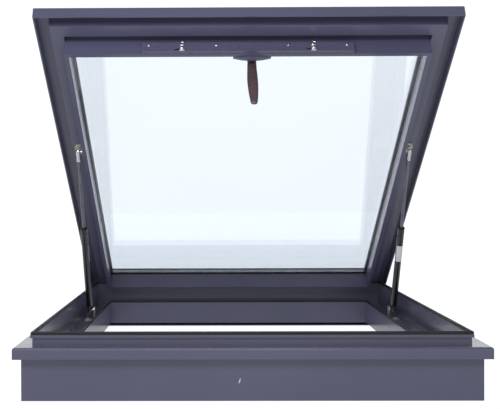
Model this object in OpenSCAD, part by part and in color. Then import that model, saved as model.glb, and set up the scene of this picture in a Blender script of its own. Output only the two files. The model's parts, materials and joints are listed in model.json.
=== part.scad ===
// Openable roof skylight: a kerb frame, a glazed lid hinged along its rear edge,
// two gas struts and a handle-driven lock on the lid's front rail.
// +Z is up, -Y is the lock side, +Y is the hinge side. The origin is the centre of the kerb's underside.

/* [Opening] */
// Clear width of the opening
clear_w = 800; // [600:10:1200]
// Clear length of the opening, from lock side to hinge side
clear_l = 1180; // [1000:10:1600]

/* [Kerb and frame] */
// Height of the kerb skirt that shows under the flange
kerb_h = 86; // [70:1:160]
// Width of the frame at the sides and the rear, from flange edge to clear opening
side_band = 84; // [80:1:110]
// Width of the frame at the lock side
front_band = 112; // [108:1:140]
// Height of the flange's fascia
fascia_h = 24; // [18:1:40]
// Wall thickness of the frame and kerb profiles
wall = 3; // [2:0.5:4]
// Distance of the kerb wall from the flange edge
kerb_inset = 16; // [8:1:22]
// Width of the kerb's turned-in foot
foot_w = 44; // [30:1:50]
// Distance of the rim's lip from the flange edge
rim_inset = 32; // [30:1:36]
// Height of the rim above the flange, without its seal
rim_h = 21.6; // [18:0.1:30]
// Depth of the gutter under the flange's top face
gutter_drop = 44; // [36:1:50]
// Radius of the fixing holes in the kerb's foot
fixing_r = 3.5; // [2:0.5:5]

/* [Lid] */
// Angle of the lid when open
open_angle = 30.5; // [20:0.5:45]
// Distance of the lid's edge from the flange edge
lid_inset = 14; // [12:1:16]
// Height of the lid's skirt
skirt_h = 28; // [24:1:30]
// Wall thickness of the sash profiles
sash_wall = 2.5; // [2:0.5:3]
// Thickness of the sash's inner leg
leg_t = 10; // [8:0.5:12]
// Height of the sash's inner leg below its outer box
leg_drop = 34; // [30:1:36]
// Thickness of one glass pane
pane_t = 4; // [3:0.5:4]
// Height of the air space between the panes
air_t = 8; // [8:0.5:10]

/* [Lock] */
// Distance between the two lock cams
cam_pitch = 292; // [200:1:360]
// Length of the lock housing
housing_l = 472; // [400:1:560]
// Sideways offset of the handle from the middle of the lid
handle_x = 10; // [-30:1:30]
// Length of the lever from its spindle to its tip
lever_l = 125; // [100:1:140]
// Travel of the lock bar for a quarter turn of the handle
lock_travel = 12; // [10:0.5:14]

/* [Struts] */
// Distance of the lower ball from the hinge axis, along the frame
lower_ball_y = 463.5; // [440:0.5:480]
// Distance of the upper ball from the hinge axis, along the lid
upper_ball_y = 827; // [800:1:840]
// Radius of the gas tube
tube_r = 9; // [8:0.5:9]
// Length of the gas tube
tube_l = 254; // [230:1:260]
// Radius of the piston rod
rod_r = 4; // [3:0.5:5]
// Radius of the ball studs
ball_r = 5; // [4:0.5:5]

/* [Hidden] */
$fn = 48;

// Directions of the four sides, as turns about Z from the lock side
FRONT = 0;
REAR = 180;
LEFT = -90;
RIGHT = 90;

// Gaps
seal_gap = 0.3;         // between a seal and the face that closes on it
pivot_gap = 0.3;        // between an opened pivot and the plate it slides past
run_gap = 0.05;         // running fit of shafts, balls and pistons
screw_gap = 0.1;        // around a screw's shank

// Frame, in heights from the kerb's underside
flange_w = clear_w + 2 * side_band;
flange_l = clear_l + front_band + side_band;
flange_top = kerb_h + fascia_h;
rim_top = flange_top + rim_h;
gutter_floor = flange_top - gutter_drop;
rim_lip = 4;            // how far the rim's lip stands out of its web
rim_lip_h = 6;
rim_inner = rim_inset + rim_lip + wall;
lip_w = 9;              // width of the inner lip
lip_h = 10;             // height of the inner lip above the gutter floor
lip_top = gutter_floor + lip_h;
liner_z = 12;           // lower edge of the inner lining
fixing_in = kerb_inset + foot_w / 2;    // from the flange edge to the fixing holes
edge_r = 5;             // rounding of the flange's and the lid's top edges

// Seals
seal_foot_w = 5;
rim_bulb_r = 3;
rim_seal_h = 7.1;
inner_bulb_r = 2;
inner_seal_h = 3.7;
rim_seal_top = rim_top + rim_seal_h;
inner_seal_top = lip_top + inner_seal_h;

// Lid, in its closed position
lid_w = flange_w - 2 * lid_inset;
lid_l = flange_l - 2 * lid_inset;
cover_under = rim_seal_top + seal_gap;
skirt_top = cover_under + wall;
skirt_z = skirt_top - skirt_h;
leg_z = inner_seal_top + seal_gap;
box_z = leg_z + leg_drop;
leg_proud = 1;          // how far the leg's inner face stands inside the clear opening
rim_clear = 7;          // between the rim and the sash's outer box
slope_clear = 2;        // between the rim and the start of the cover's slope
side_depth = side_band - lid_inset + leg_proud;
front_depth = front_band - lid_inset + leg_proud;
leg_out = side_depth - leg_t;
front_leg_out = front_depth - leg_t;
sash_out = rim_inner + rim_clear - lid_inset;
leg_y = -lid_l / 2 + front_leg_out;     // front face of the front rail's leg
groove_w = 21;          // groove between the front rail's box and its leg
groove_top = cover_under - 6;
bed_wall = 3;           // wall between the glass edge and the sash's box
slope_start = rim_inner + slope_clear - lid_inset;
slope_rise = 6;
lip_over = 4;           // how far the cover reaches over the glass past the leg
cover_lip = cover_under + slope_rise;
gasket_t = 2;
glass_top = cover_lip - gasket_t;
glass_z = glass_top - 2 * pane_t - air_t;
tape_t = 3;
ledge_z = glass_z - tape_t;
edge_gap = 1;           // around the glass
spacer_w = 8;
spacer_in = 6;          // how far the spacer shows past the leg
tape_back = 0.5;        // how far the tape stays behind the leg's inner face
gasket_back = 1;        // how far the gasket stays behind the cover's lip
leg_reach = leg_t - bed_wall - edge_gap;    // from the glass edge to the leg's inner face
glass_half_w = lid_w / 2 - leg_out - bed_wall - edge_gap;
glass_y0 = leg_y + bed_wall + edge_gap;
glass_y1 = lid_l / 2 - leg_out - bed_wall - edge_gap;

// Hinge
knuckle_r = 5;
pin_r = 2.5;
pin_head_r = 3.7;
pin_head_t = 1.2;
hinge_gap = 0.5;
hinge_rise = 18;        // height of the pin above the skirt's lower edge
hinge_y = flange_l / 2 - lid_inset + knuckle_r + hinge_gap;
hinge_z = skirt_z + hinge_rise;
hinge_x = 0.32 * flange_w;
hinge_w = 90;
hinge_mid = 40;
knuckle_gap = 0.4;
leaf_t = 2.5;
leaf_foot = 24;
hinge_leaf_t = 2;
base_hole_x = 0.36 * hinge_w;
base_hole_y = 14;       // from the pin to the base leaf's holes
lid_hole_x = 0.3 * hinge_mid;
lid_hole_z = 6;         // from the skirt's lower edge to the lid leaf's holes

// Struts
strut_out = 24;         // from the clear opening to the struts
lower_ball_h = 28;      // height of the lower ball above the gutter floor
upper_ball_h = 11;      // distance of the upper ball under the sash's box
strut_x = clear_w / 2 + strut_out;
plate_t = 2.5;
plate_x = clear_w / 2 - leg_proud + leg_t + 1;
lower_ball = [hinge_y - lower_ball_y, gutter_floor + lower_ball_h];
upper_closed = [hinge_y - upper_ball_y, box_z - upper_ball_h];
function turned(p) = let (a = hinge_y - p[0], b = p[1] - hinge_z)
    [hinge_y - a * cos(open_angle) + b * sin(open_angle),
     hinge_z + a * sin(open_angle) + b * cos(open_angle)];
upper_ball = turned(upper_closed);
strut_l = norm(upper_ball - lower_ball);
strut_tilt = atan2(lower_ball[0] - upper_ball[0], upper_ball[1] - lower_ball[1]);
socket_r = ball_r + 1.5;
socket_cut = 2;         // chamfer at the closed end of each socket
socket_neck = 1.5;      // how much thicker than the rod the upper socket's neck is
lower_socket_l = 17;
upper_socket_l = 30;
tube_wall = 1.5;
tube_bottom = 4;
guide_l = 13;
piston_l = 8;
piston_rest = 8;        // gap between the piston and the guide when the lid is open
tube_end = lower_socket_l + tube_l;
rod_low = tube_end - guide_l - piston_rest;
stud_neck_r = 2.5;
stud_collar_r = 5;
stud_collar_t = 2;
bracket_w = 26;
bracket_over = 9;       // how far a bracket's plate reaches past its ball
lower_foot_w = 14;      // how far the lower bracket's foot reaches past the strut
lower_hole_x = 7;       // from the strut to the foot's screws
lower_hole_y = 8;
upper_foot_w = 9;       // how far the upper bracket's foot reaches past the strut
upper_foot_slope = 6;
upper_hole_x = 3;       // from the strut to the foot's screws
upper_hole_y = 15;

// Lock
handle_z = leg_z + 14.5;
lever_u = 27;           // how far the lever's middle stands off the leg
rosette_y = leg_y + leg_t;
rosette_t = 8;
rosette_w = 85;
rosette_r = 138;        // radius of the rosette's lower edge
rosette_low = leg_z - 6;
hub_r = 11;
lever_t = 13;
lever_neck_w = 18;
lever_mid_w = 23;
lever_tip_r = 7;
lever_widest = 0.62 * lever_l;
lever_swell = 14;       // length over which the lever keeps its greatest width
spindle_w = 7;
spindle_bore_r = 5.3;
housing_z = leg_z + 1;
housing_h = 24;
housing_d = 10;
housing_t = 1.5;
housing_screw_l = housing_d + sash_wall;
housing_hole_up = 3;    // from the spindle's height to the housing's screws
housing_hole_x = [-housing_l / 2 + 16, -70, 90, housing_l / 2 - 16];
gear_r = lock_travel / (PI / 2);
gear_teeth = 12;
gear_pitch = 2 * PI * gear_r / gear_teeth;
tooth_h = 0.9;          // height of a tooth above and below the pitch line
tooth_root = 0.3;       // how deep a tooth is set into its bar or gear
gear_u = 6.5;           // middle of gear and bar, in front of the leg
gear_t = 3;
bar_h = 4;              // from the bar's lower edge to the pitch line
bar_low = handle_z - gear_r - bar_h;
bar_side = 18;          // how far the bar reaches past each cam
cam_r = 6;
cam_t = 4;
cam_u = 12.5;           // middle of the cams, in front of the leg
cam_eye_z = leg_z + 17;
cam_w = 11;
cam_hole_r = 2.4;
tab_w = 5;              // tab that joins each cam to the drive bar
tab_t = 2.5;
slot_room = 4;          // from the cam's middle to the end of its slot
slot_h = 5;
tab_rise = 0.5;         // of the tab's lower face above the bar's lower edge
keeper_t = 3;
keeper_gap = 0.5;
keeper_y = leg_y - cam_u;
keeper_x = [-40, -19];  // foot of a keeper, from the middle of its cam
keeper_tip = -7;        // end of its hook
keeper_holes = [-35.5, -27];
keeper_foot = 11;       // how far the foot reaches in front of the cam
hook_w = 6;
hook_t = 3;

// Screws
screw_r = 2;
head_r = 3.6;
head_t = 1.8;
screw_l = 9;

// Colours
powder = [0.27, 0.27, 0.34];
powder_dark = [0.2, 0.2, 0.26];
rubber = [0.06, 0.06, 0.07];
zinc = [0.72, 0.68, 0.58];
steel = [0.75, 0.76, 0.78];
tube_black = [0.07, 0.07, 0.08];
clear_glass = [0.85, 0.92, 1.0, 0.3];
handle_brown = [0.27, 0.2, 0.18];

// Points of a quarter arc about c, from angle a0 to a0 + 90
function arc(c, r, a0) = [for (i = [0:6]) c + r * [cos(a0 + 15 * i), sin(a0 + 15 * i)]];
function flip(points) = [for (i = [len(points) - 1:-1:0]) points[i]];

// ---- Placing ----

// Half the distance between a side and its opposite, and a side's own length, for a w by l rectangle
function reach(turn, w, l) = (turn == FRONT || turn == REAR) ? l / 2 : w / 2;
function span(turn, w, l) = (turn == FRONT || turn == REAR) ? w : l;

// Extrudes a profile, drawn as [inward from the edge, height], along one side of a w by l rectangle
module along(turn, w, l) {
    rotate([0, 0, turn]) translate([0, -reach(turn, w, l), 0])
        rotate([90, 0, 90]) linear_extrude(span(turn, w, l), center = true) children();
}

// Plan of one side: mitred to the depth m, then butted, with depth d, or df at the lock side
function side_plan(turn, w, l, m, d, df) =
    let (h = span(turn, w, l) / 2, s = turn == LEFT ? 1 : -1)
    turn == FRONT ? [[-h, 0], [-h + m, m], [-h + m, df], [h - m, df], [h - m, m], [h, 0]] :
    turn == REAR ? [[-h, 0], [-h + d, d], [h - d, d], [h, 0]] :
    [[-s * h, 0], [-s * (h - d), d], [s * (h - df), d], [s * (h - df), m], [s * (h - m), m], [s * h, 0]];

// One side of a frame of mitred profiles
module side(turn, w, l, m, d, df, z0, z1) {
    intersection() {
        along(turn, w, l) children();
        rotate([0, 0, turn]) translate([0, -reach(turn, w, l), z0])
            linear_extrude(z1 - z0) polygon(side_plan(turn, w, l, m, d, df));
    }
}

// A ring of mitred strips whose profile is drawn about a centre line,
// with x from -half_w to half_w and y from y0 to y1
module ring(half_w, y0, y1, half_t, z0, z1) {
    translate([0, (y0 + y1) / 2, 0])
        for (turn = [FRONT, REAR, LEFT, RIGHT]) {
            w = 2 * half_w;
            l = y1 - y0;
            h = span(turn, w, l) / 2;
            intersection() {
                rotate([0, 0, turn]) translate([0, -reach(turn, w, l), 0]) rotate([90, 0, 90])
                    linear_extrude(2 * (h + half_t), center = true) children();
                rotate([0, 0, turn]) translate([0, -reach(turn, w, l), z0]) linear_extrude(z1 - z0)
                    polygon([[-h - half_t, -half_t], [h + half_t, -half_t],
                             [h - half_t, half_t], [-h + half_t, half_t]]);
            }
        }
}

// Turns what is modelled on the closed lid to the open position
module on_lid() {
    translate([0, hinge_y, hinge_z]) rotate([-open_angle, 0, 0]) translate([0, -hinge_y, -hinge_z]) children();
}

// Places what is modelled along +Z from the lower ball on a strut: s is -1 for left and 1 for right
module on_strut(s) {
    translate([s * strut_x, lower_ball[0], lower_ball[1]]) rotate([strut_tilt, 0, 0]) children();
}

// A box between two corners
module block(low, high) {
    translate(low) cube(high - low);
}

// A round bar along X, Y or Z between two places
module bar_x(x0, x1, r) { translate([x0, 0, 0]) rotate([0, 90, 0]) cylinder(h = x1 - x0, r = r); }
module bar_y(y0, y1, r) { translate([0, y1, 0]) rotate([90, 0, 0]) cylinder(h = y1 - y0, r = r); }
module bar_z(z0, z1, r) { translate([0, 0, z0]) cylinder(h = z1 - z0, r = r); }

// ---- Kerb and frame ----

module kerb_profile() {
    polygon([
        [kerb_inset, 0], [kerb_inset + foot_w, 0], [kerb_inset + foot_w, wall],
        [kerb_inset + wall, wall], [kerb_inset + wall, flange_top - wall], [kerb_inset, flange_top - wall]
    ]);
}

module kerb_wall(turn) {
    depth = kerb_inset + foot_w;
    color(powder) difference() {
        side(turn, flange_w, flange_l, depth, depth, depth, 0, flange_top) kerb_profile();
        for (x = [-1, 1], y = [-1, 1])
            translate([x * (flange_w / 2 - fixing_in), y * (flange_l / 2 - 2 * fixing_in), -1])
                cylinder(h = wall + 2, r = fixing_r);
    }
}

// Section of the frame: fascia, flange, rim with its lip, gutter, inner lip and lining. band is its depth.
module frame_profile(band) {
    web = rim_inset + rim_lip;
    polygon(concat(
        [[0, kerb_h]],
        flip(arc([edge_r, flange_top - edge_r], edge_r, 90)),
        [[web, flange_top], [web, rim_top - rim_lip_h], [rim_inset, rim_top - rim_lip_h],
         [rim_inset, rim_top], [rim_inner, rim_top], [rim_inner, gutter_floor],
         [band - lip_w, gutter_floor], [band - lip_w, lip_top], [band, lip_top], [band, liner_z],
         [band - wall, liner_z], [band - wall, gutter_floor - wall], [web, gutter_floor - wall],
         [web, flange_top - wall], [wall, flange_top - wall], [wall, kerb_h]]
    ));
}

module frame_side(turn) {
    color(powder) difference() {
        side(turn, flange_w, flange_l, rim_inner, side_band, front_band, 0, rim_top)
            frame_profile(turn == FRONT ? front_band : side_band);
        base_screw_places() bar_z(-screw_l, 1, screw_r + screw_gap);
    }
}

// Rubber strip: a foot of width w with a bulb on it
module bulb_profile(w, r, top, low) {
    translate([-w / 2, low]) square([w, top - r - low]);
    translate([0, top - r]) circle(r);
}

module rim_seal() {
    mid = (rim_inset + rim_inner) / 2;
    color(rubber) ring(flange_w / 2 - mid, -flange_l / 2 + mid, flange_l / 2 - mid,
                       rim_bulb_r + 0.5, rim_top, cover_under)
        bulb_profile(seal_foot_w, rim_bulb_r, rim_seal_top, rim_top);
}

module inner_seal() {
    mid = lip_w / 2;
    color(rubber) ring(clear_w / 2 + mid, -flange_l / 2 + front_band - mid, flange_l / 2 - side_band + mid,
                       inner_bulb_r + 1, lip_top, leg_z)
        bulb_profile(seal_foot_w, inner_bulb_r, inner_seal_top, lip_top);
}

// ---- Screws ----

// Places of the screws in the base: each child stands on the face that the screw's head lies on, pointing up
module base_screw_places() {
    for (s = [-1, 1]) {
        for (i = [-1, 0, 1])
            translate([s * hinge_x + i * base_hole_x, hinge_y - base_hole_y, flange_top + leaf_t]) children();
        for (i = [-1, 1])
            translate([s * (strut_x + lower_hole_x), lower_ball[0] + i * lower_hole_y, gutter_floor + plate_t])
                children();
        for (x = keeper_holes)
            translate([s * cam_pitch / 2 + x, keeper_y - keeper_foot / 2, gutter_floor + keeper_t]) children();
    }
}

module base_screws() {
    color(steel) base_screw_places() {
        bar_z(0, head_t, head_r);
        bar_z(-screw_l + 1, 0, screw_r);
    }
}

// Places of the screws that go up into the lid's side boxes, through the upper brackets
module lid_up_places() {
    for (s = [-1, 1], i = [-1, 1])
        translate([s * (strut_x - upper_hole_x), upper_closed[0] + i * upper_hole_y, box_z - plate_t])
            mirror([0, 0, 1]) children();
}

// Places of the screws through the lid leaves of the hinges, into the skirt
module lid_rear_places() {
    for (s = [-1, 1], i = [-1, 1])
        translate([s * hinge_x + i * lid_hole_x, flange_l / 2 - lid_inset + hinge_leaf_t, skirt_z + lid_hole_z])
            rotate([-90, 0, 0]) children();
}

// Places of the screws through the lock housing, into the front leg
module lid_front_places() {
    for (x = housing_hole_x)
        translate([x, leg_y - housing_d, handle_z + housing_hole_up]) rotate([90, 0, 0]) children();
}

module lid_screws() {
    color(steel) on_lid() {
        lid_up_places() { bar_z(0, head_t, head_r); bar_z(-plate_t - sash_wall, 0, screw_r); }
        lid_rear_places() { bar_z(0, head_t, head_r); bar_z(-hinge_leaf_t - wall, 0, screw_r); }
        lid_front_places() { bar_z(0, head_t, head_r); bar_z(-housing_screw_l, 0, screw_r); }
    }
}

// ---- Lid ----

module cover_profile(depth) {
    inner_r = edge_r - wall;
    polygon(concat(
        [[0, skirt_z]],
        flip(arc([edge_r, skirt_top - edge_r], edge_r, 90)),
        [[slope_start, skirt_top], [leg_out, skirt_top + slope_rise],
         [depth, skirt_top + slope_rise], [depth, cover_lip], [leg_out, cover_lip],
         [slope_start, cover_under]],
        arc([edge_r, skirt_top - edge_r], inner_r, 90),
        [[wall, skirt_z]]
    ));
}

module cover_side(turn) {
    depth = side_depth + lip_over;
    front = front_depth + lip_over;
    color(powder) on_lid() difference() {
        side(turn, lid_w, lid_l, depth, depth, front, skirt_z, skirt_top + slope_rise)
            cover_profile(turn == FRONT ? front : depth);
        lid_rear_places() bar_z(-screw_l, 1, screw_r + screw_gap);
    }
}

// Height of the cover's underside at a distance u from the lid's edge, on its sloping part
function under(u) = cover_under + (u - slope_start) * slope_rise / (leg_out - slope_start);

// Section of a side or rear rail: an outer box and an inner leg, with a ledge for the glass
module sash_profile() {
    bed = leg_out + bed_wall;
    difference() {
        polygon([
            [sash_out, box_z], [leg_out, box_z], [leg_out, leg_z], [side_depth, leg_z],
            [side_depth, ledge_z], [bed, ledge_z], [bed, cover_lip], [leg_out, cover_lip],
            [sash_out, under(sash_out)]
        ]);
        hollow([sash_out, box_z], [leg_out, cover_under]);
        hollow([leg_out, leg_z], [side_depth, ledge_z]);
    }
}

// Section of the front rail: a groove for the lock lies between its box and its leg
module sash_front_profile() {
    bed = front_leg_out + bed_wall;
    box_in = front_leg_out - groove_w;
    difference() {
        polygon([
            [sash_out, box_z], [box_in, box_z], [box_in, groove_top], [front_leg_out, groove_top],
            [front_leg_out, leg_z], [front_depth, leg_z], [front_depth, ledge_z], [bed, ledge_z],
            [bed, cover_lip], [leg_out, cover_lip], [sash_out, under(sash_out)]
        ]);
        hollow([sash_out, box_z], [box_in, cover_under]);
        hollow([front_leg_out, leg_z], [front_depth, ledge_z]);
    }
}

// The chamber inside a box of the given corners
module hollow(low, high) {
    translate(low + [sash_wall, sash_wall]) square(high - low - 2 * [sash_wall, sash_wall]);
}

module sash_side(turn) {
    color(powder) on_lid() difference() {
        side(turn, lid_w, lid_l, leg_out, side_depth, front_depth, leg_z, cover_lip)
            if (turn == FRONT) sash_front_profile(); else sash_profile();
        lid_up_places() bar_z(-screw_l, 1, screw_r + screw_gap);
        if (turn == FRONT) {
            lid_front_places() bar_z(-housing_screw_l - 1, 1, screw_r + screw_gap);
            translate([handle_x, 0, handle_z]) bar_y(leg_y - 1, leg_y + leg_t + 1, spindle_bore_r);
        }
    }
}

module pane(z) {
    color(clear_glass) on_lid() block([-glass_half_w, glass_y0, z], [glass_half_w, glass_y1, z + pane_t]);
}

// A ring of rectangular strip inside the glass edge: from a to b inward of the edge, z0 to z1
module glass_ring(a, b, z0, z1) {
    mid = (a + b) / 2;
    on_lid() ring(glass_half_w - mid, glass_y0 + mid, glass_y1 - mid, (b - a) / 2, z0, z1)
        translate([-(b - a) / 2, z0]) square([b - a, z1 - z0]);
}

module glass_spacer() {
    inner = leg_reach + spacer_in;
    color(steel) glass_ring(inner - spacer_w, inner, glass_z + pane_t, glass_top - pane_t);
}

module glazing_tape() { color(rubber) glass_ring(0, leg_reach - tape_back, ledge_z, glass_z); }

module cover_gasket() {
    color(rubber) glass_ring(gasket_back, leg_reach + lip_over - gasket_back, glass_top, cover_lip);
}

// ---- Hinges ----

module knuckle(x0, x1, bore) {
    translate([0, hinge_y, hinge_z]) difference() {
        bar_x(x0, x1, knuckle_r);
        bar_x(x0 - 1, x1 + 1, bore);
    }
}

module hinge_base(s) {
    leaf_x = hinge_mid / 2 + knuckle_gap;
    color(powder_dark) translate([s * hinge_x, 0, 0]) difference() {
        union() {
            block([-hinge_w / 2, hinge_y + knuckle_r - leaf_foot, flange_top],
                  [hinge_w / 2, hinge_y + knuckle_r, flange_top + leaf_t]);
            for (i = [-1, 1]) translate([i * (leaf_x + hinge_w / 2) / 2, 0, 0]) {
                half = (hinge_w / 2 - leaf_x) / 2;
                block([-half, hinge_y + knuckle_r - leaf_t, flange_top], [half, hinge_y + knuckle_r, hinge_z]);
                knuckle(-half, half, pin_r + run_gap / 2);
            }
        }
        translate([0, hinge_y, hinge_z]) bar_x(-hinge_w, hinge_w, pin_r + run_gap / 2);
        translate([-s * hinge_x, 0, 0]) base_screw_places() bar_z(-screw_l, 1, screw_r + screw_gap);
    }
}

module hinge_lid(s) {
    y0 = flange_l / 2 - lid_inset;
    color(powder_dark) on_lid() difference() {
        translate([s * hinge_x, 0, 0]) difference() {
            union() {
                block([-hinge_mid / 2, y0, skirt_z + 1],
                      [hinge_mid / 2, y0 + hinge_leaf_t, skirt_top - edge_r]);
                knuckle(-hinge_mid / 2, hinge_mid / 2, pin_r + run_gap);
            }
            translate([0, hinge_y, hinge_z]) bar_x(-hinge_mid, hinge_mid, pin_r + run_gap);
        }
        lid_rear_places() bar_z(-screw_l, 1, screw_r + screw_gap);
    }
}

module hinge_pin(s) {
    color(steel) translate([s * hinge_x, hinge_y, hinge_z]) {
        bar_x(-hinge_w / 2, hinge_w / 2, pin_r);
        for (i = [-1, 1]) translate([i * (hinge_w + pin_head_t) / 2, 0, 0])
            bar_x(-pin_head_t / 2, pin_head_t / 2, pin_head_r);
    }
}

// ---- Struts ----

module mirrored(s) { if (s < 0) mirror([1, 0, 0]) children(); else children(); }

// Rounded plate that stands across X between x0 and x1, about the point p = [y, z], from height z0
module ear(x0, x1, p, w, z0) {
    translate([0, p[0], p[1]]) bar_x(x0, x1, w / 2);
    block([x0, p[0] - w / 2, min(z0, p[1])], [x1, p[0] + w / 2, max(z0, p[1])]);
}

module strut_bracket_lower(s) {
    color(zinc) difference() {
        mirrored(s) difference() {
            union() {
                intersection() {
                    ear(plate_x, plate_x + plate_t, lower_ball, bracket_w, gutter_floor);
                    block([plate_x, lower_ball[0] - bracket_w, gutter_floor],
                          [plate_x + plate_t, lower_ball[0] + bracket_w, lower_ball[1] + bracket_over]);
                }
                block([plate_x, lower_ball[0] - bracket_w / 2, gutter_floor],
                      [strut_x + lower_foot_w, lower_ball[0] + bracket_w / 2, gutter_floor + plate_t]);
            }
            translate([0, lower_ball[0], lower_ball[1]])
                bar_x(plate_x - 1, plate_x + plate_t + 1, stud_neck_r + screw_gap);
        }
        base_screw_places() bar_z(-screw_l, 1, screw_r + screw_gap);
    }
}

// Ball stud along X: a ball at the origin and a neck with a collar that stops at x = -reach
module ball_stud(reach, tail) {
    sphere(ball_r);
    bar_x(-reach, 0, stud_neck_r);
    bar_x(-reach, -reach + stud_collar_t, stud_collar_r);
    if (tail > 0) bar_x(-reach - tail, -reach, stud_neck_r);
}

module strut_studs_lower() {
    color(steel) for (s = [-1, 1]) mirrored(s) translate([strut_x, lower_ball[0], lower_ball[1]])
        ball_stud(strut_x - plate_x - plate_t, plate_t);
}

module strut_stud_upper(s) {
    color(steel) on_strut(s) translate([0, 0, strut_l]) mirrored(s)
        ball_stud(strut_x - plate_x - plate_t - pivot_gap, 0);
}

module strut_bracket_upper(s) {
    y = upper_closed[0];
    color(zinc) on_lid() difference() {
        mirrored(s) {
            intersection() {
                ear(plate_x, plate_x + plate_t, upper_closed, bracket_w, box_z);
                block([plate_x, y - bracket_w, upper_closed[1] - bracket_over],
                      [plate_x + plate_t, y + bracket_w, box_z]);
            }
            translate([0, y, box_z - plate_t]) linear_extrude(plate_t)
                polygon([[plate_x, -bracket_w], [plate_x, bracket_w],
                         [strut_x + upper_foot_w / 2, bracket_w - upper_foot_slope],
                         [strut_x + upper_foot_w, upper_foot_slope],
                         [strut_x + upper_foot_w, -upper_foot_slope],
                         [strut_x + upper_foot_w / 2, -bracket_w + upper_foot_slope]]);
        }
        lid_up_places() bar_z(-screw_l, 1, screw_r + screw_gap);
    }
}

// Seat of the ball in its socket: a blind bore whose mouth faces the plate
module ball_seat(s) {
    mirrored(s) bar_x(-socket_r - 1, ball_r + run_gap, ball_r + run_gap);
}

// Round end of a socket, chamfered, with its closed end at z = socket_r
module socket_head(low) {
    bar_z(low, socket_r - socket_cut, socket_r);
    translate([0, 0, socket_r - socket_cut])
        cylinder(h = socket_cut, r1 = socket_r, r2 = socket_r - socket_cut);
}

module strut_socket_lower(s) {
    color(steel) on_strut(s) difference() {
        mirror([0, 0, 1]) socket_head(-lower_socket_l);
        ball_seat(s);
    }
}

module strut_tube(s) {
    color(tube_black) on_strut(s) difference() {
        bar_z(lower_socket_l, tube_end, tube_r);
        bar_z(lower_socket_l + tube_bottom, tube_end + 1, tube_r - tube_wall);
    }
}

module strut_guide(s) {
    color(tube_black) on_strut(s) difference() {
        bar_z(tube_end - guide_l, tube_end, tube_r - tube_wall - run_gap);
        bar_z(tube_end - guide_l - 1, tube_end + 1, rod_r + run_gap);
    }
}

module strut_rod(s) {
    color(steel) on_strut(s) bar_z(rod_low, strut_l - upper_socket_l + socket_r, rod_r);
}

module strut_piston(s) {
    color(steel) on_strut(s) bar_z(rod_low - piston_l, rod_low, tube_r - tube_wall - run_gap);
}

module strut_socket_upper(s) {
    color(steel) on_strut(s) difference() {
        union() {
            bar_z(strut_l - upper_socket_l + socket_r, strut_l, rod_r + socket_neck);
            translate([0, 0, strut_l]) socket_head(-socket_r - 1);
        }
        translate([0, 0, strut_l]) ball_seat(s);
    }
}

// ---- Lock ----

module keepers() {
    hook_z = cam_eye_z + cam_r + keeper_gap;
    color(zinc) difference() {
        for (s = [-1, 1]) translate([s * cam_pitch / 2, 0, 0]) {
            hook_y = [keeper_y - hook_w + cam_t / 2, keeper_y + cam_t / 2];
            block([keeper_x[0], keeper_y - keeper_foot, gutter_floor],
                  [keeper_x[1], hook_y[1], gutter_floor + keeper_t]);
            block([keeper_x[1] - hook_t, hook_y[0], gutter_floor], [keeper_x[1], hook_y[1], hook_z + hook_t]);
            block([keeper_x[1] - hook_t, hook_y[0], hook_z], [keeper_tip, hook_y[1], hook_z + hook_t]);
        }
        base_screw_places() bar_z(-screw_l, 1, screw_r + screw_gap);
    }
}

module lock_housing() {
    z1 = housing_z + housing_h;
    y0 = leg_y - housing_d;
    color(powder_dark) on_lid() difference() {
        block([-housing_l / 2, y0, housing_z], [housing_l / 2, leg_y, z1]);
        block([-housing_l / 2 + housing_t, y0 + housing_t, housing_z + housing_t],
              [housing_l / 2 - housing_t, leg_y + 1, z1 - housing_t]);
        for (s = [-1, 1]) translate([s * cam_pitch / 2, 0, 0])
            block([-lock_travel - slot_room, y0 - 1, bar_low],
                  [slot_room, y0 + housing_t + 1, bar_low + slot_h]);
        lid_front_places() bar_z(-screw_l, 1, screw_r + screw_gap);
    }
}

// One tooth across its pitch line, with its tip along +X
module tooth(root) {
    tip = 0.8 * tooth_h;
    low = 0.24 * gear_pitch;
    high = 0.1 * gear_pitch;
    polygon([[-tooth_h - root, -low], [tip, -high], [tip, high], [-tooth_h - root, low]]);
}

module drive_bar() {
    pitch_z = handle_z - gear_r;
    half = cam_pitch / 2 + bar_side;
    color(zinc) on_lid() translate([0, leg_y - gear_u + gear_t / 2, 0]) rotate([90, 0, 0])
        linear_extrude(gear_t) {
            translate([-half, bar_low]) square([2 * half, pitch_z - tooth_h - bar_low]);
            for (i = [-2:6]) translate([handle_x + (i + 0.5) * gear_pitch, pitch_z])
                rotate(90) tooth(tooth_root);
        }
}

module lock_gear() {
    color(zinc) on_lid() translate([handle_x, leg_y - gear_u + gear_t / 2, handle_z]) rotate([90, 0, 0])
        linear_extrude(gear_t) difference() {
            union() {
                circle(gear_r - tooth_h);
                for (i = [0:gear_teeth - 1]) rotate(-90 + i * 360 / gear_teeth) translate([gear_r, 0])
                    tooth(tooth_root);
            }
            square(spindle_w + 2 * run_gap, center = true);
        }
}

module lock_cams() {
    y = keeper_y;
    color(steel) on_lid() for (s = [-1, 1]) translate([s * cam_pitch / 2, 0, 0]) difference() {
        union() {
            block([-cam_w / 2, y - cam_t / 2, housing_z], [cam_w / 2, y + cam_t / 2, cam_eye_z - cam_r / 2]);
            translate([0, 0, cam_eye_z]) bar_y(y - cam_t / 2, y + cam_t / 2, cam_r);
            block([-tab_w / 2, y, bar_low + tab_rise],
                  [tab_w / 2, leg_y - gear_u - gear_t / 2, bar_low + tab_rise + tab_t]);
        }
        translate([0, 0, cam_eye_z]) bar_y(y - cam_t, y + cam_t, cam_hole_r);
    }
}

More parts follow.
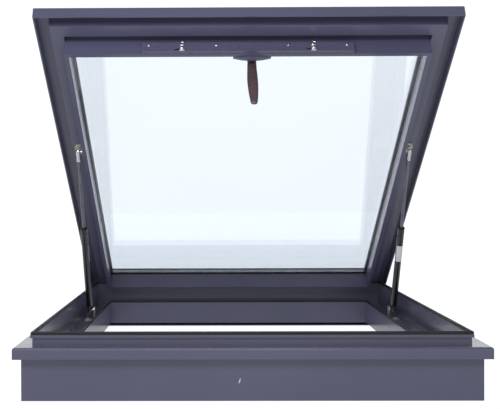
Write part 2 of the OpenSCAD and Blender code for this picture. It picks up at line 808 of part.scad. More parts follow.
module handle_base() {
    color(powder) on_lid() difference() {
        translate([handle_x, rosette_y + rosette_t, 0]) rotate([90, 0, 0]) linear_extrude(rosette_t)
            intersection() {
                translate([-rosette_w / 2, rosette_low - 1]) square([rosette_w, 2 * (handle_z - rosette_low)]);
                translate([0, rosette_low + rosette_r]) circle(rosette_r, $fn = 180);
            }
        translate([handle_x, 0, handle_z]) bar_y(rosette_y - 1, rosette_y + rosette_t + 1, spindle_bore_r);
    }
}

module handle_spindle() {
    y0 = leg_y - gear_u - gear_t / 2;
    y1 = rosette_y + lever_u;
    half = spindle_w / 2;
    color(steel) on_lid() block([handle_x - half, y0, handle_z - half], [handle_x + half, y1, handle_z + half]);
}

// Outline of the lever, hanging down from its hub at the origin
module lever_outline() {
    tip_z = -lever_l + lever_tip_r;
    half = [[lever_neck_w / 2, 0], [lever_neck_w / 2, -lever_widest / 4], [lever_mid_w / 2, -lever_widest],
            [lever_mid_w / 2, -lever_widest - lever_swell], [lever_tip_r, tip_z]];
    polygon(concat(half, flip([for (p = half) [-p[0], p[1]]])));
    translate([0, tip_z]) circle(lever_tip_r);
}

module handle_lever() {
    y0 = rosette_y + rosette_t + seal_gap;
    y1 = rosette_y + lever_u + lever_t / 2;
    hole = spindle_w / 2 + run_gap;
    color(handle_brown) on_lid() difference() {
        union() {
            translate([handle_x, 0, handle_z]) bar_y(y0, y1, hub_r);
            translate([handle_x, y1, handle_z]) rotate([90, 0, 0]) linear_extrude(lever_t) lever_outline();
        }
        block([handle_x - hole, y0 - 1, handle_z - hole],
              [handle_x + hole, rosette_y + lever_u, handle_z + hole]);
    }
}

// ---- Nodes ----

kerb_wall(FRONT);  // kerb_wall_front
kerb_wall(REAR);  // kerb_wall_rear
kerb_wall(LEFT);  // kerb_wall_left
kerb_wall(RIGHT);  // kerb_wall_right
frame_side(FRONT);  // frame_front
frame_side(REAR);  // frame_rear
frame_side(LEFT);  // frame_left
frame_side(RIGHT);  // frame_right
rim_seal();
inner_seal();
keepers();
base_screws();
hinge_base(-1);  // hinge_base_left
hinge_base(1);  // hinge_base_right
hinge_pin(-1);  // hinge_pin_left
hinge_pin(1);  // hinge_pin_right
strut_bracket_lower(-1);  // strut_bracket_lower_left
strut_bracket_lower(1);  // strut_bracket_lower_right
strut_studs_lower();
cover_side(FRONT);  // cover_front
cover_side(REAR);  // cover_rear
cover_side(LEFT);  // cover_left
cover_side(RIGHT);  // cover_right
sash_side(FRONT);  // sash_front
sash_side(REAR);  // sash_rear
sash_side(LEFT);  // sash_left
sash_side(RIGHT);  // sash_right
pane(glass_top - pane_t);  // glass_outer
pane(glass_z);  // glass_inner
glass_spacer();
glazing_tape();
cover_gasket();
hinge_lid(-1);  // hinge_lid_left
hinge_lid(1);  // hinge_lid_right
lid_screws();
strut_bracket_upper(-1);  // strut_bracket_upper_left
strut_bracket_upper(1);  // strut_bracket_upper_right
lock_housing();
handle_base();
handle_lever();
handle_spindle();
lock_gear();
drive_bar();
lock_cams();
strut_tube(-1);  // strut_tube_left
strut_tube(1);  // strut_tube_right
strut_guide(-1);  // strut_guide_left
strut_guide(1);  // strut_guide_right
strut_socket_lower(-1);  // strut_socket_lower_left
strut_socket_lower(1);  // strut_socket_lower_right
strut_rod(-1);  // strut_rod_left
strut_rod(1);  // strut_rod_right
strut_piston(-1);  // strut_piston_left
strut_piston(1);  // strut_piston_right
strut_socket_upper(-1);  // strut_socket_upper_left
strut_socket_upper(1);  // strut_socket_upper_right
strut_stud_upper(-1);  // strut_stud_upper_left
strut_stud_upper(1);  // strut_stud_upper_right
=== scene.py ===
"""Looks of the roof skylight: finishes, small detail pieces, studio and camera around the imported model."""
import json
import math

import bmesh
import bpy
from mathutils import Matrix, Vector


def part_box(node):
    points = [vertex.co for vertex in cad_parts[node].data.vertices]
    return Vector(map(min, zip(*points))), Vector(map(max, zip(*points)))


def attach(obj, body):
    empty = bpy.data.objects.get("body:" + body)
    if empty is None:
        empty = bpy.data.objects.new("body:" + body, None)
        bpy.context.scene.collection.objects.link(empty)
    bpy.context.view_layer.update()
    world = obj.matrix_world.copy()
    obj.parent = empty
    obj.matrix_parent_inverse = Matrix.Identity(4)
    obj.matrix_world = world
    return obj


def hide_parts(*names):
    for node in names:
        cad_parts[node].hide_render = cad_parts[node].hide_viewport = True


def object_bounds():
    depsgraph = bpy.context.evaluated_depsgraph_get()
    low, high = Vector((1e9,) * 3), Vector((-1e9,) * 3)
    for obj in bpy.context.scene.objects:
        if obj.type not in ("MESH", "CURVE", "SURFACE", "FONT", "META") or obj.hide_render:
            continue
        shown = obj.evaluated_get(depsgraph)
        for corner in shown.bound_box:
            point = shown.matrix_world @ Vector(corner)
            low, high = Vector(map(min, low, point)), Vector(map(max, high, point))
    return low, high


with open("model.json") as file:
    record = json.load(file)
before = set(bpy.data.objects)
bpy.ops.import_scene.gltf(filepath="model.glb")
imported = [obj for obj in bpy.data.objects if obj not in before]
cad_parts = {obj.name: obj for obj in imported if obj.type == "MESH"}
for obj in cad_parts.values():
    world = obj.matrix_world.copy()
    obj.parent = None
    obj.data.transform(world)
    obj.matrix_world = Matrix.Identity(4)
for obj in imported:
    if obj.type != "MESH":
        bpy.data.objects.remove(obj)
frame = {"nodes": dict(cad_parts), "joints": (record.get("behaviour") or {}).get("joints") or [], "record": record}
CAD_BOX = [[float(v) for v in corner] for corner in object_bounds()]
NODES = frame["nodes"]
JOINTS = {j["name"]: j for j in frame["joints"]}

# ---- The lid's turn ----

HINGE = Vector(JOINTS["lid_hinge"]["pos_m"])
OPEN_ANGLE = math.radians(JOINTS["lid_hinge"]["range_deg"][1])
# Takes a point of the closed lid to its place on the open lid
LID = Matrix.Translation(HINGE) @ Matrix.Rotation(-OPEN_ANGLE, 4, "X") @ Matrix.Translation(-HINGE)


def closed_box(node):
    """Lowest and highest corner of a lid node, measured with the lid closed."""
    back = LID.inverted()
    points = [back @ v.co for v in NODES[node].data.vertices]
    low = Vector([min(p[i] for p in points) for i in range(3)])
    high = Vector([max(p[i] for p in points) for i in range(3)])
    return low, high


# ---- Materials ----

def new_material(name):
    """A material with only a Principled shader and its output."""
    mat = bpy.data.materials.new(name)
    mat.use_nodes = True
    nodes = mat.node_tree.nodes
    bsdf = nodes["Principled BSDF"]
    return mat, nodes, mat.node_tree.links, bsdf


def noise(nodes, links, scale, detail=3.0, stretch=(1, 1, 1), rough=0.5):
    """A noise pattern in object space, stretched along the axes."""
    coords = nodes.new("ShaderNodeTexCoord")
    mapping = nodes.new("ShaderNodeMapping")
    mapping.inputs["Scale"].default_value = stretch
    links.new(coords.outputs["Object"], mapping.inputs["Vector"])
    tex = nodes.new("ShaderNodeTexNoise")
    tex.inputs["Scale"].default_value = scale
    tex.inputs["Detail"].default_value = detail
    tex.inputs["Roughness"].default_value = rough
    links.new(mapping.outputs["Vector"], tex.inputs["Vector"])
    return tex.outputs["Fac"]


def ramp(nodes, links, fac, low, high, c0, c1):
    """Maps a pattern from low..high to the colours c0..c1."""
    r = nodes.new("ShaderNodeValToRGB")
    r.color_ramp.elements[0].position = low
    r.color_ramp.elements[1].position = high
    r.color_ramp.elements[0].color = (*c0, 1)
    r.color_ramp.elements[1].color = (*c1, 1)
    links.new(fac, r.inputs["Fac"])
    return r.outputs["Color"]


def remap(nodes, links, fac, to_min, to_max, from_min=0.35, from_max=0.65):
    """Maps a pattern to a range of numbers."""
    m = nodes.new("ShaderNodeMapRange")
    m.inputs["From Min"].default_value = from_min
    m.inputs["From Max"].default_value = from_max
    m.inputs["To Min"].default_value = to_min
    m.inputs["To Max"].default_value = to_max
    links.new(fac, m.inputs["Value"])
    return m.outputs["Result"]


def bump(nodes, links, bsdf, height, strength, distance, after=None):
    """Adds a bump to the shader's normal, on top of another normal where one is given."""
    b = nodes.new("ShaderNodeBump")
    b.inputs["Strength"].default_value = strength
    b.inputs["Distance"].default_value = distance
    links.new(height, b.inputs["Height"])
    if after is not None:
        links.new(after, b.inputs["Normal"])
    links.new(b.outputs["Normal"], bsdf.inputs["Normal"])
    return b.outputs["Normal"]


def scaled(colour, k):
    """A colour with each part multiplied by k."""
    return tuple(c * k for c in colour)


def powder_coat(name, colour, roughness=0.34, bevel=0.0009, wave=0.0):
    """Satin powder coat: slight cloudiness, fine orange peel and softened edges; the sheet may be wavy."""
    mat, nodes, links, bsdf = new_material(name)
    cloud = noise(nodes, links, 5.0, 4.0)
    colour_out = ramp(nodes, links, cloud, 0.3, 0.7, scaled(colour, 0.94), scaled(colour, 1.06))
    links.new(colour_out, bsdf.inputs["Base Color"])
    grain = noise(nodes, links, 60.0, 2.0)
    links.new(remap(nodes, links, grain, roughness - 0.04, roughness + 0.05), bsdf.inputs["Roughness"])
    bsdf.inputs["IOR"].default_value = 1.5
    bsdf.inputs["Coat Weight"].default_value = 0.5
    bsdf.inputs["Coat Roughness"].default_value = 0.16
    edge = nodes.new("ShaderNodeBevel")
    edge.samples = 4
    edge.inputs["Radius"].default_value = bevel
    normal = edge.outputs["Normal"]
    if wave:
        swell = noise(nodes, links, 9.0, 1.0, (1, 0.3, 0.3))
        normal = bump(nodes, links, bsdf, swell, 1.0, wave, normal)
    peel = noise(nodes, links, 900.0, 2.0)
    bump(nodes, links, bsdf, peel, 0.12, 0.00015, normal)
    return mat


def rubber(name):
    """Matt black seal with a fine grain."""
    mat, nodes, links, bsdf = new_material(name)
    dark, light = (0.012, 0.012, 0.014), (0.022, 0.022, 0.025)
    cloud = noise(nodes, links, 30.0)
    links.new(ramp(nodes, links, cloud, 0.3, 0.7, dark, light), bsdf.inputs["Base Color"])
    links.new(remap(nodes, links, noise(nodes, links, 200.0), 0.5, 0.65), bsdf.inputs["Roughness"])
    bump(nodes, links, bsdf, noise(nodes, links, 1500.0), 0.2, 0.0001)
    return mat


def metal(name, colour, roughness, stretch=(1, 1, 1), grain=400.0, metallic=1.0):
    """Plated or brushed metal: streaks follow the stretch."""
    mat, nodes, links, bsdf = new_material(name)
    streaks = noise(nodes, links, grain, 3.0, stretch)
    blotch = noise(nodes, links, 40.0, 3.0)
    dark, light = scaled(colour, 0.85), scaled(colour, 1.1)
    links.new(ramp(nodes, links, blotch, 0.3, 0.7, dark, light), bsdf.inputs["Base Color"])
    links.new(remap(nodes, links, streaks, roughness * 0.8, roughness * 1.25), bsdf.inputs["Roughness"])
    bsdf.inputs["Metallic"].default_value = metallic
    bump(nodes, links, bsdf, streaks, 0.08, 0.0001)
    return mat


def glass(name, tint):
    """Clear float glass with a barely uneven tint."""
    mat, nodes, links, bsdf = new_material(name)
    cloud = noise(nodes, links, 2.0)
    links.new(ramp(nodes, links, cloud, 0.3, 0.7, tint, scaled(tint, 0.992)), bsdf.inputs["Base Color"])
    bsdf.inputs["Transmission Weight"].default_value = 1.0
    bsdf.inputs["Roughness"].default_value = 0.0
    bsdf.inputs["IOR"].default_value = 1.45
    return mat


def enamel(name, colour, roughness, coat=0.0, grain=500.0, strength=0.05):
    """Painted or moulded surface with a light texture."""
    mat, nodes, links, bsdf = new_material(name)
    cloud, fine = noise(nodes, links, 18.0, 3.0), noise(nodes, links, 120.0)
    dark, light = scaled(colour, 0.9), scaled(colour, 1.12)
    links.new(ramp(nodes, links, cloud, 0.3, 0.7, dark, light), bsdf.inputs["Base Color"])
    links.new(remap(nodes, links, fine, roughness * 0.85, roughness * 1.2), bsdf.inputs["Roughness"])
    bsdf.inputs["Coat Weight"].default_value = coat
    bsdf.inputs["Coat Roughness"].default_value = 0.08
    bump(nodes, links, bsdf, noise(nodes, links, grain, 2.0), strength, 0.0002)
    return mat


POWDER = (0.092, 0.090, 0.156)
MATERIALS = {
    "powder_coat": powder_coat("powder_coat", POWDER),
    "hinge_coat": powder_coat("hinge_coat", scaled(POWDER, 0.7), 0.4, 0.0004),
    "rubber_seal": rubber("rubber_seal"),
    "bright_steel": metal("bright_steel", (0.78, 0.79, 0.82), 0.18),
    "zinc_steel": metal("zinc_steel", (0.62, 0.56, 0.47), 0.32),
    "clear_glass": glass("clear_glass", (0.94, 0.966, 1.0)),
    "spacer_aluminium": metal("spacer_aluminium", (0.66, 0.67, 0.7), 0.38, (1, 1, 20)),
    "handle_brown": enamel("handle_brown", (0.087, 0.052, 0.058), 0.28, 0.3),
    "tube_paint": enamel("tube_paint", (0.011, 0.011, 0.013), 0.2, 0.5),
    "black_plastic": enamel("black_plastic", (0.014, 0.014, 0.015), 0.5),
    "rod_steel": metal("rod_steel", (0.2, 0.2, 0.24), 0.3, (1, 1, 0.1), 900.0),
    "label_white": enamel("label_white", (0.8, 0.8, 0.83), 0.35),
}


def dress_nodes():
    """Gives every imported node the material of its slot."""
    for row in frame["record"]["subparts"]:
        mesh = NODES[row["node"]].data
        mesh.materials.clear()
        mesh.materials.append(MATERIALS[row["material_slot"]])


dress_nodes()
# The lock strip is thin sheet, a little wavy and glossier than the frame
NODES["lock_housing"].data.materials[0] = powder_coat("powder_coat_wavy", POWDER, 0.3, wave=0.004)

# ---- Mesh helpers ----

MERGE_DIST = 1e-6


def add_piece(name, bm, body, slot, replaces=(), place=None, angle=40):
    """Turns a bmesh into a smooth-shaded piece that rides on a body."""
    if place is not None:
        bm.transform(place)
    bmesh.ops.recalc_face_normals(bm, faces=bm.faces)
    mesh = bpy.data.meshes.new(name)
    bm.to_mesh(mesh)
    bm.free()
    mesh.polygons.foreach_set("use_smooth", [True] * len(mesh.polygons))
    mesh.set_sharp_from_angle(angle=math.radians(angle))
    mesh.materials.append(MATERIALS[slot])
    piece = bpy.data.objects.new(name, mesh)
    bpy.context.scene.collection.objects.link(piece)
    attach(piece, body)
    if replaces:
        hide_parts(*replaces)


def loft(bm, rings, cap_start=True, cap_end=True):
    """Joins rings of equally many points into a skin, with a fan over each end."""
    rows = [[bm.verts.new(p) for p in ring] for ring in rings]
    n = len(rows[0])
    for a, b in zip(rows, rows[1:]):
        for i in range(n):
            bm.faces.new((a[i], a[(i + 1) % n], b[(i + 1) % n], b[i]))
    for row, wanted in ((rows[0], cap_start), (rows[-1], cap_end)):
        if wanted:
            centre = bm.verts.new(sum((v.co for v in row), Vector()) / n)
            for i in range(n):
                bm.faces.new((row[i], row[(i + 1) % n], centre))


def circle(place, radius, height, count):
    """Points round the place's Z axis."""
    angles = (2 * math.pi * i / count for i in range(count))
    return [place @ Vector((radius * math.cos(a), radius * math.sin(a), height)) for a in angles]


def turned(bm, profile, place, segments=32):
    """Revolves [radius, height] points about the place's Z axis, closed at both ends."""
    loft(bm, [circle(place, radius, height, segments) for radius, height in profile])


def islands(node):
    """The corners of each separate solid of a node, as lists of points."""
    bm = bmesh.new()
    bm.from_mesh(NODES[node].data)
    bmesh.ops.remove_doubles(bm, verts=bm.verts, dist=MERGE_DIST)
    left, groups = set(bm.verts), []
    while left:
        start = left.pop()
        group, edge = [start], [start]
        while edge:
            for link in edge.pop().link_edges:
                for v in link.verts:
                    if v in left:
                        left.discard(v)
                        group.append(v)
                        edge.append(v)
        groups.append([v.co.copy() for v in group])
    bm.free()
    return sorted(groups, key=lambda g: tuple(round(c, 4) for c in sum(g, Vector()) / len(g)))


def spread(points, axis):
    """Lowest and highest place of the points along an axis."""
    along = [p[axis] for p in points]
    return min(along), max(along)


def middle(points):
    """Centre of the points' box."""
    return Vector([sum(spread(points, i)) / 2 for i in range(3)])


# ---- Screws ----

SCREW_HEAD_R = 0.0036
SCREW_HEAD_T = 0.0018
SCREW_TOP_R = SCREW_HEAD_R * 0.45
SCREW_END_GAP = 0.0005
SCREW_SEGMENTS = 24
LID_SCREW_END_Y = 0.5
THREAD_PITCH = 0.0012
THREAD_CREST_R = 0.00198
THREAD_ROOT_R = 0.0016
POINT_R, POINT_LENGTH = 0.0009, 0.0004
RECESS_ARM = SCREW_HEAD_R * 0.42
RECESS_HALF = SCREW_HEAD_R * 0.1
RECESS_DEPTH = 0.0011
RECESS_TAPER = 0.6


def cross_outline(arm, half):
    """The twelve corners of a cross."""
    corners = []
    for k in range(4):
        c, s = math.cos(k * math.pi / 2), math.sin(k * math.pi / 2)
        for x, y in ((arm, -half), (arm, half), (half, half)):
            corners.append((x * c - y * s, x * s + y * c))
    return corners


def pan_screw(bm, place, length):
    """Pan head with a cross recess on a ridged shank; Z points out of the head, whose seat is at zero."""
    turns = max(2, int(length / THREAD_PITCH))
    head = [(SCREW_HEAD_R * 0.96, 0.0), (SCREW_HEAD_R, 0.0004), (SCREW_HEAD_R * 0.93, 0.0011),
            (SCREW_HEAD_R * 0.7, 0.00165), (SCREW_TOP_R, SCREW_HEAD_T)]
    thread = [(THREAD_CREST_R if i % 2 else THREAD_ROOT_R, -length + length * i / (2 * turns))
              for i in range(2 * turns + 1)]
    profile = [(POINT_R, -length - POINT_LENGTH)] + thread + head
    loft(bm, [circle(place, radius, height, SCREW_SEGMENTS) for radius, height in profile], True, False)
    # The recess tapers to a smaller cross at its floor
    cross = cross_outline(RECESS_ARM, RECESS_HALF)
    n = len(cross)
    rim = [bm.verts.new(place @ Vector((x, y, SCREW_HEAD_T))) for x, y in cross]
    floor = [bm.verts.new(place @ Vector((x * RECESS_TAPER, y * RECESS_TAPER, SCREW_HEAD_T - RECESS_DEPTH)))
             for x, y in cross]
    for i in range(n):
        j = (i + 1) % n
        bm.faces.new((rim[i], rim[j], floor[j], floor[i]))
    bm.faces.new(floor)
    # The flat ring between the head's edge and the cross
    outer = [bm.verts.new(p) for p in circle(place, SCREW_TOP_R, SCREW_HEAD_T, SCREW_SEGMENTS)]
    loop = [bm.edges.new((outer[i], outer[(i + 1) % SCREW_SEGMENTS])) for i in range(SCREW_SEGMENTS)]
    loop += [bm.edges.get((rim[i], rim[(i + 1) % n])) for i in range(n)]
    bmesh.ops.triangle_fill(bm, use_beauty=True, use_dissolve=False, edges=loop)
    bmesh.ops.remove_doubles(bm, verts=bm.verts, dist=MERGE_DIST)


def build_base_screws():
    """The kerb's screws, with their heads up."""
    bm = bmesh.new()
    for points in islands("base_screws"):
        at, (low, high) = middle(points), spread(points, 2)
        turn = Matrix.Rotation(at.x * 40, 4, "Z")
        seat = high - SCREW_HEAD_T
        pan_screw(bm, Matrix.Translation((at.x, at.y, seat)) @ turn, seat - low - SCREW_END_GAP)
    add_piece("base_screws_detail", bm, "base", "bright_steel", ["base_screws"])


def build_lid_screws():
    """The lid's screws: heads outwards at the rear and the front, and downwards between them."""
    bm = bmesh.new()
    back = LID.inverted()
    for points in islands("lid_screws"):
        points = [back @ p for p in points]
        at = middle(points)
        if at.y > LID_SCREW_END_Y:
            axis, way, turn = 1, 1, Matrix.Rotation(math.radians(-90), 4, "X")
        elif at.y < -LID_SCREW_END_Y:
            axis, way, turn = 1, -1, Matrix.Rotation(math.radians(90), 4, "X")
        else:
            axis, way, turn = 2, -1, Matrix.Rotation(math.radians(180), 4, "X")
        low, high = spread(points, axis)
        seat = at.copy()
        seat[axis] = (high if way > 0 else low) - way * SCREW_HEAD_T
        pan_screw(bm, LID @ Matrix.Translation(seat) @ turn @ Matrix.Rotation(at.x * 30, 4, "Z"),
                  high - low - SCREW_HEAD_T - SCREW_END_GAP)
    add_piece("lid_screws_detail", bm, "lid", "bright_steel", ["lid_screws"])


# ---- Lever ----

def smooth_rows(rows, steps):
    """Rows of numbers with more rows between them, on a Catmull-Rom curve."""
    out = []
    for i in range(len(rows) - 1):
        a, b, c, d = (rows[min(max(k, 0), len(rows) - 1)] for k in (i - 1, i, i + 1, i + 2))
        for k in range(steps):
            t = k / steps
            out.append(tuple(0.5 * (2 * q + (r - p) * t + (2 * p - 5 * q + 4 * r - w) * t * t
                                    + (3 * q - p - 3 * r + w) * t ** 3) for p, q, r, w in zip(a, b, c, d)))
    return out + [rows[-1]]


LEVER_HUB_R = 0.011
LEVER_HALF_T = 0.0065
LEVER_SEGMENTS = 28
LEVER_SQUARENESS = 0.8
# Distance below the hub, half width, half thickness, sideways sweep
LEVER_SECTIONS = [
    (-0.0098, 0.0050, 0.0030, 0), (-0.0085, 0.0080, 0.0050, 0), (-0.005, 0.0098, 0.0062, 0),
    (0.004, 0.0102, 0.0064, 0), (0.016, 0.0104, 0.0061, 0), (0.032, 0.0110, 0.0058, 0.0002),
    (0.050, 0.0119, 0.0055, 0.0006), (0.066, 0.0121, 0.0053, 0.0011), (0.080, 0.0117, 0.0050, 0.0017),
    (0.094, 0.0108, 0.0046, 0.0023), (0.106, 0.0096, 0.0042, 0.0028), (0.116, 0.0083, 0.0038, 0.0031),
    (0.1215, 0.0070, 0.0030, 0.0032), (0.1240, 0.0048, 0.0015, 0.0032),
]


def build_lever():
    """Smooth lever: a round hub and an arm that swells towards its middle."""
    low, high = closed_box("handle_lever")
    x, hub_z, arm_y = (low.x + high.x) / 2, high.z - LEVER_HUB_R, high.y - LEVER_HALF_T
    bm = bmesh.new()
    rings = []
    for down, half_w, half_t, sweep in smooth_rows(LEVER_SECTIONS, 4):
        ring = []
        for i in range(LEVER_SEGMENTS):
            a = 2 * math.pi * i / LEVER_SEGMENTS
            c, s = math.cos(a), math.sin(a)
            ring.append(Vector((x + sweep + half_w * math.copysign(abs(c) ** LEVER_SQUARENESS, c),
                                arm_y + half_t * math.copysign(abs(s) ** LEVER_SQUARENESS, s), hub_z - down)))
        rings.append(ring)
    loft(bm, rings)
    # The hub runs from the rosette's clearance into the arm
    to_y = Matrix.Translation((x, arm_y, hub_z)) @ Matrix.Rotation(math.radians(90), 4, "X")
    reach = arm_y - low.y
    turned(bm, [(0.0082, reach - 0.0002), (0.0100, reach - 0.0006), (0.0102, reach - 0.003),
                (0.0088, reach - 0.0065), (0.0078, reach - 0.011), (0.0074, 0.004)], to_y)
    add_piece("lever_detail", bm, "handle", "handle_brown", ["handle_lever"], LID, 60)


# ---- Lock cams ----

CAM_EYE_BELOW_TOP = 0.006
CAM_RIVET_ABOVE_END = 0.0062
CAM_RING = [(0.0024, -0.0002), (0.0056, -0.0002), (0.0057, 0.0012), (0.0051, 0.0022), (0.0042, 0.0026),
            (0.0033, 0.0023), (0.0027, 0.0014)]
CAM_EYE = [(0.0026, 0.0012), (0.0025, 0.0018), (0.0014, 0.0020)]
CAM_RIVET = [(0.0047, -0.0002), (0.0048, 0.0012), (0.0042, 0.0023), (0.0028, 0.0030), (0.0010, 0.0033)]


def build_cam_buttons():
    """A ring with a dark eye and a round rivet on the front of each cam."""
    back = LID.inverted()
    out = Matrix.Rotation(math.radians(90), 4, "X")
    bright, dark = bmesh.new(), bmesh.new()
    for points in islands("lock_cams"):
        points = [back @ p for p in points]
        x, front = middle(points).x, spread(points, 1)[0]
        low, top = spread(points, 2)
        eye = Matrix.Translation((x, front, top - CAM_EYE_BELOW_TOP)) @ out
        turned(bright, CAM_RING, eye)
        turned(dark, CAM_EYE, eye)
        turned(bright, CAM_RIVET, Matrix.Translation((x, front, low + CAM_RIVET_ABOVE_END)) @ out)
    add_piece("cam_rings", bright, "lock_bar", "bright_steel", (), LID)
    add_piece("cam_eyes", dark, "lock_bar", "black_plastic", (), LID)


# ---- Struts ----

TUBE_R = 0.009
TUBE_PLUG = [(0.0050, -0.0048), (0.0072, -0.0042), (0.0088, -0.0016), (0.0091, 0.0002), (0.0091, 0.0010),
             (0.0089, 0.0018)]
TUBE_BEAD = [(0.0088, -0.0009), (0.0092, -0.0005), (0.0093, 0.0), (0.0092, 0.0005), (0.0088, 0.0009)]
TUBE_BEADS_FROM_END = (0.0135, 0.010)
TUBE_CAP = [(0.0091, -0.0022), (0.0093, -0.0008), (0.0088, 0.0010), (0.0066, 0.0022), (0.0047, 0.0024),
            (0.00425, 0.0016)]
LABEL_FROM_START = (0.150, 0.200)
LABEL_LIFT = 0.00012
LABEL_FIRST_DEG, LABEL_SWEEP_DEG = -150, 170
LABEL_ROWS, LABEL_COLS = 2, 16
# Radius to the corners and distance from the socket's neck
ROD_NUT = [(0.0046, -0.0042), (0.0062, -0.0038), (0.0062, -0.0004), (0.0050, 0.0)]


def strut_place(side):
    """Frame of one strut: its origin at the lower ball, Z towards the upper ball."""
    x, y, z = JOINTS["strut_pivot_" + side]["pos_m"]
    along = Vector(JOINTS["strut_slide_" + side]["axis"]).normalized()
    across = Vector((1, 0, 0))
    third = along.cross(across)
    turn = Matrix((across, third, along)).transposed().to_4x4()
    return Matrix.Translation((x, y, z)) @ turn


def strut_ends(node, place):
    """Where a node starts and ends along the strut."""
    back = place.inverted()
    along = [(back @ v.co).z for v in NODES[node].data.vertices]
    return min(along), max(along)


def build_tube_plug(side, place, start):
    """Welded plug in the tube's lower end."""
    bm = bmesh.new()
    turned(bm, TUBE_PLUG, place @ Matrix.Translation((0, 0, start)))
    add_piece("tube_plug_" + side, bm, "strut_tube_" + side, "tube_paint")


def build_tube_beads(side, place, end):
    """The two rolled beads that hold the guide."""
    bm = bmesh.new()
    for from_end in TUBE_BEADS_FROM_END:
        turned(bm, TUBE_BEAD, place @ Matrix.Translation((0, 0, end - from_end)))
    add_piece("tube_beads_" + side, bm, "strut_tube_" + side, "tube_paint")


def build_tube_cap(side, place, end):
    """Rounded cap over the end that the rod comes out of."""
    bm = bmesh.new()
    turned(bm, TUBE_CAP, place @ Matrix.Translation((0, 0, end)))
    add_piece("tube_cap_" + side, bm, "strut_tube_" + side, "black_plastic")


def build_tube_label(side, place, start):
    """Blank label wrapped on the tube, mirrored between the two sides."""
    bm = bmesh.new()
    mirror = 1 if side == "right" else -1
    radius = TUBE_R + LABEL_LIFT
    low, high = start + LABEL_FROM_START[0], start + LABEL_FROM_START[1]
    first, sweep = math.radians(LABEL_FIRST_DEG * mirror), math.radians(LABEL_SWEEP_DEG) * mirror
    grid = []
    for i in range(LABEL_ROWS + 1):
        along = low + (high - low) * i / LABEL_ROWS
        angles = [first + sweep * j / LABEL_COLS for j in range(LABEL_COLS + 1)]
        grid.append([bm.verts.new(place @ Vector((radius * math.cos(a), radius * math.sin(a), along)))
                     for a in angles])
    for i in range(LABEL_ROWS):
        for j in range(LABEL_COLS):
            bm.faces.new((grid[i][j], grid[i][j + 1], grid[i + 1][j + 1], grid[i + 1][j]))
    add_piece("tube_label_" + side, bm, "strut_tube_" + side, "label_white")


def build_rod_nut(side, place):
    """Lock nut on the rod, below its socket."""
    neck = strut_ends("strut_socket_upper_" + side, place)[0]
    bm = bmesh.new()
    corners = [math.radians(60 * i + 15) for i in range(6)]
    loft(bm, [[place @ Vector((r * math.cos(a), r * math.sin(a), neck + z)) for a in corners]
              for r, z in ROD_NUT])
    add_piece("rod_nut_" + side, bm, "strut_rod_" + side, "bright_steel", (), None, 30)


def build_strut(side):
    """The details of one strut."""
    place = strut_place(side)
    start, end = strut_ends("strut_tube_" + side, place)
    build_tube_plug(side, place, start)
    build_tube_beads(side, place, end)
    build_tube_cap(side, place, end)
    build_tube_label(side, place, start)
    build_rod_nut(side, place)


# ---- Marks of use ----

SCRATCH_LIFT = 0.00006


def build_scratch():
    """Short bright scratch on the front of the kerb."""
    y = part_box("kerb_wall_front")[0].y - SCRATCH_LIFT
    bm = bmesh.new()
    # Place across and up, and half width
    spine = [(-0.0268, 0.0355, 0.0004), (-0.0258, 0.0392, 0.0012),
             (-0.0246, 0.0428, 0.0010), (-0.0238, 0.0462, 0.0003)]
    left = [bm.verts.new((x - w, y, z)) for x, z, w in spine]
    right = [bm.verts.new((x + w, y, z)) for x, z, w in spine]
    for i in range(len(spine) - 1):
        bm.faces.new((left[i], right[i], right[i + 1], left[i + 1]))
    add_piece("kerb_scratch", bm, "base", "label_white")


build_base_screws()
build_lid_screws()
build_lever()
build_cam_buttons()
build_strut("left")
build_strut("right")
build_scratch()

# ---- Studio ----

WORLD_FRONT, WORLD_BACK, WORLD_TOP = 0.12, 1.1, 0.4
FLOOR_GLOW, FLOOR_SEEN = 0.6, 1.0
SOFT_BLUE = (0.93, 0.96, 1.0)


def build_floor():
    """Pale floor."""
    bpy.ops.mesh.primitive_plane_add(size=40, location=(0, 0, 0))
    floor = bpy.context.object
    floor.name = "floor"
    mat, nodes, links, bsdf = new_material("floor")
    bsdf.inputs["Base Color"].default_value = (0.16, 0.16, 0.165, 1)
    bsdf.inputs["Roughness"].default_value = 0.8
    bsdf.inputs["Emission Color"].default_value = (0.94, 0.97, 1.0, 1)
    # Seen as white directly and through glass, but a dimmer source of light for what stands on it
    ray = nodes.new("ShaderNodeLightPath")
    seen = nodes.new("ShaderNodeMath")
    seen.operation = "MAXIMUM"
    links.new(ray.outputs["Is Camera Ray"], seen.inputs[0])
    links.new(ray.outputs["Is Transmission Ray"], seen.inputs[1])
    links.new(remap(nodes, links, seen.outputs["Value"], FLOOR_GLOW, FLOOR_SEEN, 0.0, 1.0),
              bsdf.inputs["Emission Strength"])
    floor.data.materials.append(mat)


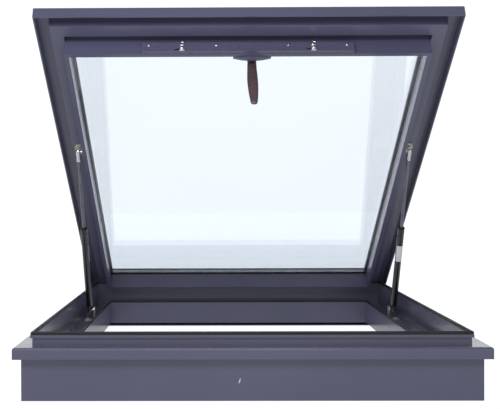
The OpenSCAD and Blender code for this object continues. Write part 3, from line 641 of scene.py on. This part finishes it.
def build_world(front, back, top):
    """Pale studio: bright behind, half as bright above, dim in front. It shows as plain white."""
    world = bpy.data.worlds.new("studio")
    bpy.context.scene.world = world
    world.use_nodes = True
    nodes, links = world.node_tree.nodes, world.node_tree.links
    shade = nodes["Background"]
    shade.inputs["Color"].default_value = (0.965, 0.98, 1.0, 1)
    coords = nodes.new("ShaderNodeTexCoord")
    axes = nodes.new("ShaderNodeSeparateXYZ")
    links.new(coords.outputs["Generated"], axes.inputs["Vector"])
    along_y = remap(nodes, links, axes.outputs["Y"], front, back, -0.05, 0.75)
    along_z = remap(nodes, links, axes.outputs["Z"], 0, top, 0.1, 0.9)
    larger = nodes.new("ShaderNodeMath")
    larger.operation = "MAXIMUM"
    links.new(along_y, larger.inputs[0])
    links.new(along_z, larger.inputs[1])
    links.new(larger.outputs["Value"], shade.inputs["Strength"])
    plain = nodes.new("ShaderNodeBackground")
    plain.inputs["Color"].default_value = (1, 1, 1, 1)
    plain.inputs["Strength"].default_value = 1.05
    ray = nodes.new("ShaderNodeLightPath")
    mix = nodes.new("ShaderNodeMixShader")
    links.new(ray.outputs["Is Camera Ray"], mix.inputs["Fac"])
    links.new(shade.outputs["Background"], mix.inputs[1])
    links.new(plain.outputs["Background"], mix.inputs[2])
    links.new(mix.outputs["Shader"], nodes["World Output"].inputs["Surface"])


def area_light(name, place, target, size, power, colour):
    """Rectangular light that faces its target and isn't seen itself."""
    data = bpy.data.lights.new(name, "AREA")
    data.shape = "RECTANGLE"
    data.size, data.size_y = size
    data.energy = power
    data.color = colour
    lamp = bpy.data.objects.new(name, data)
    lamp.location = place
    lamp.visible_camera = False
    lamp.rotation_euler = (Vector(target) - Vector(place)).to_track_quat("-Z", "Y").to_euler()
    bpy.context.scene.collection.objects.link(lamp)


def build_camera():
    """Eye-level view of the lock side, a little left of the middle."""
    data = bpy.data.cameras.new("camera")
    data.sensor_width = 36.0
    data.lens = 82.23
    data.shift_x = 0.0992
    camera = bpy.data.objects.new("camera", data)
    yaw, pitch, roll = (math.radians(a) for a in (0.641, -0.638, 0.175))
    camera.matrix_world = (
        Matrix.Translation((-0.0778, CAD_BOX[0][1] - 2.2895, 0.4232))
        @ Matrix.Rotation(yaw, 4, "Z")
        @ Matrix.Rotation(math.radians(90) + pitch, 4, "X")
        @ Matrix.Rotation(-roll, 4, "Z")
    )
    bpy.context.scene.collection.objects.link(camera)
    bpy.context.scene.camera = camera


build_floor()
build_world(WORLD_FRONT, WORLD_BACK, WORLD_TOP)
area_light("key", (-0.35, -1.7, 1.25), (0, 0.0, 0.35), (1.4, 0.5), 13, SOFT_BLUE)
area_light("fill", (0.0, -2.6, 0.3), (0, -0.69, 0.08), (2.4, 0.4), 5, SOFT_BLUE)
build_camera()
bpy.context.scene.view_settings.view_transform = "Standard"
